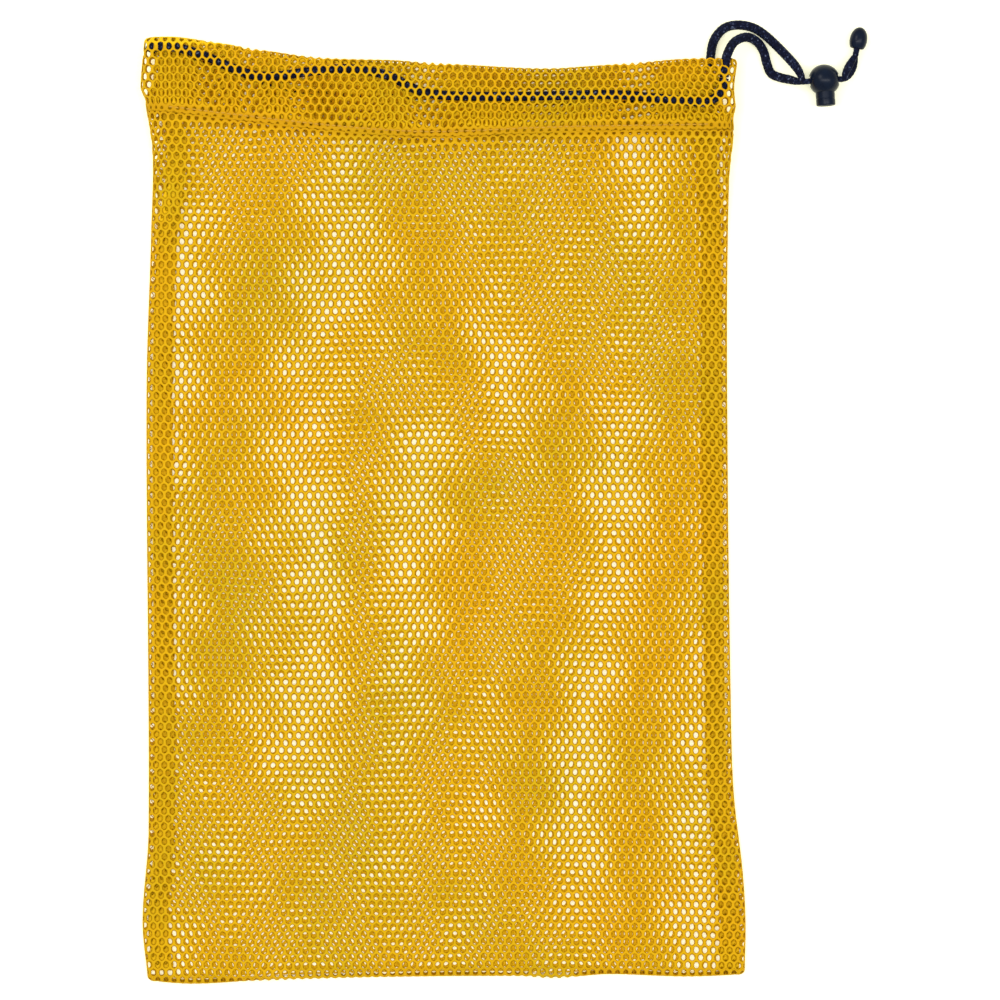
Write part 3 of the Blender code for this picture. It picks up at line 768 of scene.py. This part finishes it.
def cord_look():
    """Navy braided polyester with pale flecks."""
    look = Look("navy_braid", Specular_IOR_Level=0.1)
    yarns = look.cells(1300, "Color")
    dark = look.ramp(yarns, [(0.0, (0.0012, 0.0018, 0.008)), (0.62, (0.002, 0.004, 0.02)),
                             (0.8, (0.012, 0.02, 0.06)), (0.92, (0.12, 0.15, 0.25))])
    soft = look.mix(look.spread(look.noise(260, 2), 0.0, 0.5), dark, (0.0015, 0.0025, 0.011, 1))
    hairs = look.add(look.cells(1500), look.noise(3200, 3))
    look.bump(hairs, 0.00018, 0.8)
    return look.paint(soft, look.spread(look.noise(800, 2), 0.6, 0.85))


def plastic_look():
    """Dark slate moulded plastic, glossy, with handling marks."""
    look = Look("slate_plastic", Specular_IOR_Level=0.14)
    marks = look.noise(180, 5, 0.65)
    colour = look.ramp(marks, [(0.3, (0.001, 0.0035, 0.012)), (0.7, (0.0022, 0.008, 0.023))])
    look.bump(look.noise(900, 3), 0.00004, 0.5)
    return look.paint(colour, look.spread(marks, 0.2, 0.36))


def steel_look():
    look = Look("spring_wire", Metallic=1.0)
    grain = look.noise(2500, 3)
    colour = look.ramp(grain, [(0.3, (0.42, 0.42, 0.43)), (0.7, (0.6, 0.6, 0.61))])
    return look.paint(colour, look.spread(grain, 0.22, 0.4))


def floor_look():
    # Painted light: the floor's pale yellow colour and faint yellow glow stand in for light bounced
    # off the yellow knit onto the floor seen through the holes.
    look = Look("pale_floor", Roughness=0.9, Specular_IOR_Level=0.1, Emission_Strength=0.35)
    look.shader.inputs["Emission Color"].default_value = (1, 1, 0.66, 1)
    soft = look.ramp(look.noise(3, 2), [(0.3, (0.93, 0.93, 0.76)), (0.7, (0.96, 0.96, 0.79))])
    return look.paint(soft)


# ================================================================ camera, lights and floor
def camera():
    data = bpy.data.cameras.new("photo_camera")
    data.sensor_width = 36
    data.lens = 36 * (CAMERA_HEIGHT - 0.006) / FIELD
    data.clip_end = 20
    made = bpy.data.objects.new("photo_camera", data)
    made.location = (CAMERA_X * MM, CAMERA_Y * MM, CAMERA_HEIGHT)
    bpy.context.scene.collection.objects.link(made)
    bpy.context.scene.camera = made


def area_light(name, place, size, power):
    data = bpy.data.lights.new(name, "AREA")
    data.shape = "RECTANGLE"
    data.size, data.size_y = size
    data.energy = power
    made = bpy.data.objects.new(name, data)
    made.location = place
    made.rotation_euler = (Vector((0.03, 0, 0)) - Vector(place)).to_track_quat("-Z", "Y").to_euler()
    bpy.context.scene.collection.objects.link(made)


def studio():
    world = bpy.data.worlds.new("studio")
    world.use_nodes = True
    background = world.node_tree.nodes["Background"]
    background.inputs["Color"].default_value = (1, 0.98, 0.93, 1)
    background.inputs["Strength"].default_value = 0.72
    bpy.context.scene.world = world
    bpy.context.scene.view_settings.view_transform = "Standard"
    area_light("key_light", (0.36, 0.0, 2.3), (0.28, 3.2), 34)
    area_light("side_light", (-0.9, 0.9, 1.6), (0.8, 0.8), 9)
    corners = np.array([(-1, -1, 0), (1, -1, 0), (1, 1, 0), (-1, 1, 0)]) * FLOOR_HALF / MM
    floor = add_mesh("studio_floor", corners - (0, 0, FLOOR_DROP), [[0, 1, 2, 3]], floor_look(),
                     smooth=False)


# ================================================================ pieces of the bag
# How many columns and rows the back layer lies off the front layer, along a few heights:
# where both are near whole numbers the holes line up and the floor shows through.
STREAKS = [(-230, (-95, -22, 30, 88)), (-120, (-99, -20, 42, 88)), (-20, (-96, -16, 50, 106)),
           (60, (-92, 4, 58, 109)), (160, (-75, -6, 66, 112)), (240, (-70, -2, 68, 116))]


def column_slip(a, b):
    """Columns by which the back layer has slipped: 0, 1, 2, 3 along the bright streaks."""
    lines = [edge_value([(y, xs[i]) for y, xs in STREAKS], b) for i in range(4)]
    slip = np.where(a < lines[0], (a - lines[0]) / 70.0, 0.0)
    for i in range(3):
        inside = (a >= lines[i]) & (a < lines[i + 1])
        slip = np.where(inside, i + (a - lines[i]) / (lines[i + 1] - lines[i]), slip)
    return np.where(a >= lines[3], 3 + (a - lines[3]) / 60.0, slip)


def row_slip(a, b):
    drift = 0.28 * np.sin((b + 40) / 41 + a / 70) + 0.18 * np.sin(a / 27 + b / 90 + 1.2)
    return drift + np.exp(-((a + 15) / 38) ** 2 - ((b + 80) / 120) ** 2)


def soft_warp(flat):
    """Slight unevenness of the knit."""
    a, b = flat[:, 0], flat[:, 1]
    return flat + np.stack([0.35 * np.sin(b / 31 + a / 47) + 0.2 * np.sin(a / 17 - b / 23 + 0.7),
                            0.4 * np.sin(a / 37 + 0.4) + 0.22 * np.sin(a / 13 + b / 29)], axis=1)


def back_warp(flat):
    bent = soft_warp(flat)
    slip = column_slip(bent[:, 0], bent[:, 1])
    rows = row_slip(bent[:, 0], bent[:, 1])
    a, b = bent[:, 0], bent[:, 1]
    patchy = np.stack([0.5 * np.sin(a / 5.4 + b / 8.3) + 0.4 * np.sin(b / 6.2 - a / 9.7 + 1.1),
                       0.5 * np.sin(a / 6.6 - b / 7.4 + 0.5) + 0.35 * np.sin(b / 5.0 + a / 11 + 2)],
                      axis=1)
    return bent + np.stack([PITCH * (slip - 1.5), ROW * rows], axis=1) + 0.55 * patchy


def clamp_to(low_high_b, low_high_a):
    """Keeps flat points on the cloth, first between its ends and then between its sides."""
    def clamp(flat):
        low, high = low_high_b(flat[:, 0])
        b = np.clip(flat[:, 1], low, high)
        left, right = low_high_a(b)
        return np.stack([np.clip(flat[:, 0], left, right), b], axis=1)
    return clamp


def panel_painted_shade(places):
    """Painted shade: 1 is the open knit's colour; less is painted darker, on the seam bands and at
    the hem.
    """
    a, b = places[:, 0], places[:, 1]
    left, right = panel_sides(b)
    edge = np.minimum(a - left, right - a)
    by_seam = np.exp(-(edge / 7.0) ** 2)
    by_hem = np.exp(-((edge_value(STITCH_LINE, a) - b) / 2.5) ** 2)
    return 1 - 0.22 * by_seam - 0.5 * by_hem


def near_stitching(centre):
    """The knit is drawn together beside the hem's stitch line."""
    off = (centre[:, 1] - edge_value(STITCH_LINE, centre[:, 0]) - 1.5) / 3.2
    return 1 - 0.62 * np.exp(-off ** 4)


def stand_in(piece, body, slot, *nodes):
    """Puts a piece on its body in the place of CAD nodes. The slot is not used."""
    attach(piece, body)
    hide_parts(*nodes)


def declare(knitted, node):
    """Puts a net on the bag's body in the place of a CAD node.  Its cut has curved edges; the cut's
    width, length and outline's area, which counts the holes in as cloth is measured before it is
    sewn, are not used."""
    piece, (width, length, area) = knitted
    stand_in(piece, "bag", "mesh", node)


def make_panels(knit):
    """Front and back, each in three pieces that meet along rows of the knit."""
    cells = lattice(-165, 165, -250, 215)
    rows = cells[:, 1]
    lowest, _ = panel_limits(cells[:, 0])

    def front_ends(a):
        return np.full(len(a), -400.0), panel_limits(a)[1]

    def back_ends(a):
        low, high = panel_limits(a)
        return low + GAP / 2, high

    for part, start, end in (("low", -228, -95), ("middle", -95, 50), ("high", 50, 230)):
        front_start = lowest + FOLD_TOP if part == "low" else start
        piece = net(f"front_net_{part}", cells[(rows >= front_start) & (rows < end)], soft_warp,
                    clamp_to(front_ends, panel_sides), lambda f: panel_surface(f, 1), knit,
                    seed=311 + start, hole_size=near_stitching, light_and_shade=panel_painted_shade)
        declare(piece, "front_panel")
        back_start = -400 if part == "low" else start
        # The back layers get painted light: their values are raised by 0.75, so they are painted
        # lighter than the front.
        piece = net(f"back_net_{part}", cells[(rows >= back_start) & (rows < end)], back_warp,
                    clamp_to(back_ends, panel_sides), lambda f: panel_surface(f, -1), knit,
                    seed=641 + start, hole_size=near_stitching,
                    light_and_shade=lambda p: panel_painted_shade(p) + 0.75)
        declare(piece, "back_panel")


def make_bottom_net(knit):
    cells = lattice(-165, 165, -250, -215)
    lowest, _ = panel_limits(cells[:, 0])

    def ends(a):
        return panel_limits(a)[0] - math.pi * FOLD_R + 0.05, np.full(len(a), 400.0)

    # The bottom fold gets painted shade: its knit is painted a little darker.
    piece = net("bottom_fold_net", cells[cells[:, 1] < lowest + FOLD_TOP], soft_warp,
                clamp_to(ends, panel_sides), lambda f: panel_surface(f, 1), knit, seed=5,
                hole_size=always(0.9), light_and_shade=always(0.8))
    declare(piece, "bottom_fold")


def away_from_cords(points):
    """Pushes cloth out of the cords that run through it."""
    clear = CORD / 2 + CORD_CLEARANCE
    for path in (HEM_CORD[::3, :3], OUTER_LINE[:IN_HEM:3, :3], INNER_LINE[:IN_HEM:3, :3]):
        where, far = nearest_on_path(points, path)
        close = far < clear
        way = points[close] - path[where[close]]
        points[close] = path[where[close]] + way / np.maximum(far[close], 0.01)[:, None] * clear
    return points


def make_hem(name, face, knit, seed):
    cells = lattice(-165, 165, 180, 300)

    def surface(flat):
        return hem_surface(flat, face)

    def ends(a):
        left, right, _, _, _ = section(np.full(len(a), HEM_Y), 1.0)
        start, fold_y, radius = hem_layout(np.clip(a, left, right), face)
        return start, fold_y + math.pi * radius + fold_y - start

    def in_notch(centre):
        spots = surface(centre)
        hit = np.zeros(len(spots), bool)
        for path in (OUTER_LINE[:IN_HEM, :3], INNER_LINE[:IN_HEM, :3]):
            hit |= nearest_on_path(spots, path)[1] < NOTCH_REACH
        _, fold_y, radius = hem_layout(np.clip(centre[:, 0], -HEM_HALF, HEM_HALF), face)
        folded = (centre[:, 1] > fold_y - 0.5) & (centre[:, 1] < fold_y + math.pi * radius + 0.5)
        return hit & folded

    def place_on_hem(places):
        """How far above the stitch line points end up, and which of them face outwards."""
        spots = surface(places)
        up = spots[:, 1] - edge_value(STITCH_LINE, spots[:, 0])
        return up, (places[:, 1] < HEM_INSIDE_B) & (face > 0)

    # Painted light on the hem's inner layers, slight painted shade on its outside, and painted
    # shade along the stitch line.
    def painted_light_and_shade(places):
        up, outside = place_on_hem(places)
        return np.where(outside, 0.95, 1.6) - 0.5 * np.exp(-((up - 1.5) / 3.0) ** 4)

    def size_of(centre):
        up, outside = place_on_hem(centre)
        return np.where(outside, 1.14, 0.9) * (1 - 0.66 * np.exp(-((up - 1.5) / 3.2) ** 4))

    def warp(flat):
        return soft_warp(flat) + (0.9 * face, HEM_ROW_SHIFT[face])

    piece = net(name, cells, warp, clamp_to(ends, hem_sides(face)), surface, knit, seed,
                hole_size=size_of, light_and_shade=painted_light_and_shade, apart=away_from_cords, drop=in_notch)
    declare(piece, "front_hem" if face > 0 else "back_hem")


def make_seam(side, name, knit, thread):
    """Both layers of the turned-in edge, and the overlock thread that holds the seam."""
    bottom = -206.0
    cells = lattice(-4, SEAM_ALLOWANCE + 4, bottom - 30, 230)

    def ends(a):
        return np.full(len(a), bottom - 24.0), np.full(len(a), 219.0 + (3 if side < 0 else 0))

    def sides(b):
        ragged = 0.35 * np.sin(b / 3.1 + side) + 0.25 * np.sin(b / 1.3)
        return np.zeros(len(b)), SEAM_ALLOWANCE + ragged - 0.4

    # The allowances get painted light: their knit is painted lighter, so that it looks as lit as
    # the front cloth.
    for layer, lift, shift in (("upper", 0.46, 1.1), ("lower", -0.46, -0.4)):
        piece = net(f"{name}_allowance_{layer}", cells, lambda f: soft_warp(f) + (shift, shift),
                    clamp_to(ends, sides), allowance_surface(side, lift), knit,
                    seed=71 + int(side) + int(10 * lift), hole_size=always(0.5), light_and_shade=always(1.4))
        declare(piece, f"{name}_allowance")
    b = np.arange(bottom, 216, 0.22)
    rise = side_rise(b)
    left, right, centre_z, _, _ = section(b, rise)
    middle = np.where(side > 0, right, left) + side * (0.4 + 0.3 * rise)
    turns = 2 * math.pi * b / OVERLOCK_PITCH
    line = np.stack([middle + OVERLOCK_R * np.cos(turns), b,
                     centre_z + OVERLOCK_R * np.sin(turns)], axis=1)
    stand_in(tube(f"{name}_overlock", line, round_wire(THREAD_R), 6, thread),
             "bag", "thread", f"{name}_thread")


def make_stitching(name, cad, face, thread):
    """A row of lockstitches over the hem's outside."""
    depth = SEWN_MEAN - SEWN_SWING + YARN_HALF + 0.12
    if face < 0:
        depth = SEWN_MEAN + SEWN_SWING - 2 * CLOTH - GAP - 0.5
    stitch, sides, parts, faces = 2.9, 8, [], []
    left, right, _, _, _ = section(195.0, 1.0)
    count = int((right - left - 6) / stitch)
    for k in range(count):
        x = left + 3 + stitch * (k + 0.5)
        ends = []
        for at in np.linspace(-1, 1, 7):
            here = x + at * stitch * 0.42
            y = edge_value(STITCH_LINE, here) + 2.6 + 0.12 * math.sin(3.7 * k)
            z = MOUTH_Z + face * (MOUTH / 2 + depth) - face * 0.35 * at ** 4
            ends.append((here, float(y), z, 0.34 * math.sqrt(max(1 - at ** 6, 0.05))))
        base = len(parts) * sides
        for px, py, pz, r in ends:
            parts.append([(px, py + r * math.cos(2 * math.pi * j / sides),
                           pz + r * math.sin(2 * math.pi * j / sides)) for j in range(sides)])
        for i in range(6):
            for j in range(sides):
                n = (j + 1) % sides
                faces.append([base + i * sides + j, base + i * sides + n,
                              base + (i + 1) * sides + n, base + (i + 1) * sides + j])
        faces.append([base + j for j in reversed(range(sides))])
        faces.append([base + 6 * sides + j for j in range(sides)])
    piece = add_mesh(name, np.array(parts).reshape(-1, 3), faces, thread)
    stand_in(piece, "bag", "thread", cad)


# ================================================================ cord, lock and bead
def make_cords(navy):
    inside = tube("drawcord_braid", HEM_CORD, braid(lambda s: np.full(s.shape, CORD)), 32, navy)
    stand_in(inside, "bag", "cord", "drawcord")
    for name, line, node in (("outer_strand_braid", OUTER_LINE, "outer_strand"),
                             ("inner_strand_braid", INNER_LINE, "inner_strand")):
        gone = distances_along(line[:, :3])
        sizes = line[:, 3]
        piece = tube(name, line, braid(lambda s: np.interp(s, gone, sizes)), 40, navy)
        stand_in(piece, "bag", "cord", node)


def make_lock(plastic):
    """The ball with its button, cord hole and mould line."""
    heights = np.concatenate([np.linspace(-1, -0.06, 22), np.linspace(-0.05, 0.05, 9),
                              np.linspace(0.06, 1, 22)])
    profile = []
    for share in heights:
        angle = share * math.pi / 2
        ridge = 0.07 * math.exp(-(BALL_R * math.sin(angle) / 0.16) ** 2)
        radius = (BALL_R + ridge) * math.cos(angle)
        profile.append((radius if abs(share) < 1 else 0, BALL_R * math.sin(angle)))
    ball = turned("lock_ball", profile, plastic, 96, around="Z")
    lip = math.sqrt(BALL_R ** 2 - BORE_R ** 2)
    bore = turned("bore_cut", [(0, -12), (BORE_R + 3.2, -12), (BORE_R + 0.75, -lip - 0.25),
                               (BORE_R + 0.3, -lip + 0.1), (BORE_R + 0.06, -lip + 0.5),
                               (BORE_R, -lip + 0.9), (BORE_R, BORE_END),
                               (SPRING_POCKET_R, BORE_END), (SPRING_POCKET_R, SPRING_POCKET_END),
                               (0, SPRING_POCKET_END)],
                  plastic, 96)
    flares = [(-1, 3.0), (-0.72, 0.75), (-0.69, 0.3), (-0.65, 0.06), (-0.6, 0),
              (0.6, 0), (0.65, 0.06), (0.69, 0.3), (0.72, 0.75), (1, 3.0)]
    stations = [(x, -SLOT_HALF_WIDTH, SLOT_HALF_WIDTH, SLOT_HALF_HEIGHT, grow)
                for x, grow in flares]
    slot = rounded_slot("cord_cut", stations, 10, plastic)
    carve(ball, [bore, slot])
    button = turned("lock_button", [
        (0, -PLUNGER_OUT + 0.55), (2.6, -PLUNGER_OUT + 0.5), (3.3, -PLUNGER_OUT + 0.2),
        (3.75, -PLUNGER_OUT), (4.2, -PLUNGER_OUT), (4.55, -PLUNGER_OUT + 0.18),
        (4.75, -PLUNGER_OUT + 0.5), (4.8, -PLUNGER_OUT + 0.9), (4.8, -9.7), (4.66, -9.55),
        (4.66, -9.2), (4.8, -9.05), (4.8, PLUNGER_IN - 0.4), (4.5, PLUNGER_IN), (0, PLUNGER_IN)],
        plastic, 96)
    window = rounded_slot("button_cut", [(x, -SLOT_HALF_WIDTH - TRAVEL, SLOT_HALF_WIDTH,
                                          SLOT_HALF_HEIGHT, 0) for x in (-1, 1)], 10, plastic)
    carve(button, [window])
    for piece, body, node in ((ball, "cord_lock", "lock_barrel"),
                              (button, "lock_button", "lock_plunger")):
        placed(piece, LOCK_CENTRE, LOCK_TURN)
        stand_in(piece, body, "plastic", node)


def make_spring(steel):
    """The return spring, made at rest; the real one shortens against the pocket's end when the
    button is pressed.
    """
    near, far = PLUNGER_IN + GAP, SPRING_POCKET_END - GAP
    share = np.linspace(0, 1, 48 * SPRING_TURNS + 1)
    angle = 2 * math.pi * SPRING_TURNS * share
    length = far - near - SPRING_WIRE
    line = np.stack([SPRING_R * np.cos(angle), near + SPRING_WIRE / 2 + length * share,
                     SPRING_R * np.sin(angle)], axis=1)
    piece = tube("return_spring", line, round_wire(SPRING_WIRE / 2), 12, steel)
    placed(piece, LOCK_CENTRE, LOCK_TURN)
    stand_in(piece, "cord_lock", "spring_steel", "lock_spring")
    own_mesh(piece)


def make_bead(plastic):
    mouth = math.asin(BEAD_BORE_R / BEAD_R) * 1.02
    outside = [(BEAD_R * math.sin(a), BEAD_HALF * math.cos(a))
               for a in np.linspace(0, math.pi - mouth, 40)[1:]]
    lip = outside.pop()
    rim = [(lip[0] - 0.05, lip[1] - 0.12), (lip[0] - 0.3, lip[1] - 0.16),
           (BEAD_BORE_R - 0.1, lip[1] + 0.25)]
    profile = [(0, BEAD_HALF), *outside, *rim, (BEAD_BORE_R, BEAD_BORE_END - 1),
               (BEAD_BORE_R - 0.8, BEAD_BORE_END), (0, BEAD_BORE_END)]
    bead = turned("cord_bead", profile[::-1], plastic, 64)
    placed(bead, BEAD_CENTRE, BEAD_LEAN - 90)
    stand_in(bead, "bag", "plastic", "cord_end_bead")
    return bead


def finish_cad_node(name, look):
    """Gives a CAD node that stays in view its material."""
    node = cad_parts[name]
    for place in node.material_slots:
        place.material = look
    return node


def build():
    camera()
    studio()
    knit, thread, navy, plastic = mesh_look(), thread_look(), cord_look(), plastic_look()
    knot = finish_cad_node("cord_knot", navy)
    bead = make_bead(plastic)
    make_cords(navy)
    make_lock(plastic)
    make_spring(steel_look())
    make_panels(knit)
    make_bottom_net(knit)
    make_hem("front_hem_net", 1, knit, 101)
    make_hem("back_hem_net", -1, knit, 102)
    make_seam(-1, "left_seam", knit, thread)
    make_seam(1, "right_seam", knit, thread)
    make_stitching("front_stitches", "front_hem_stitching", 1, thread)
    make_stitching("back_stitches", "back_hem_stitching", -1, thread)


build()
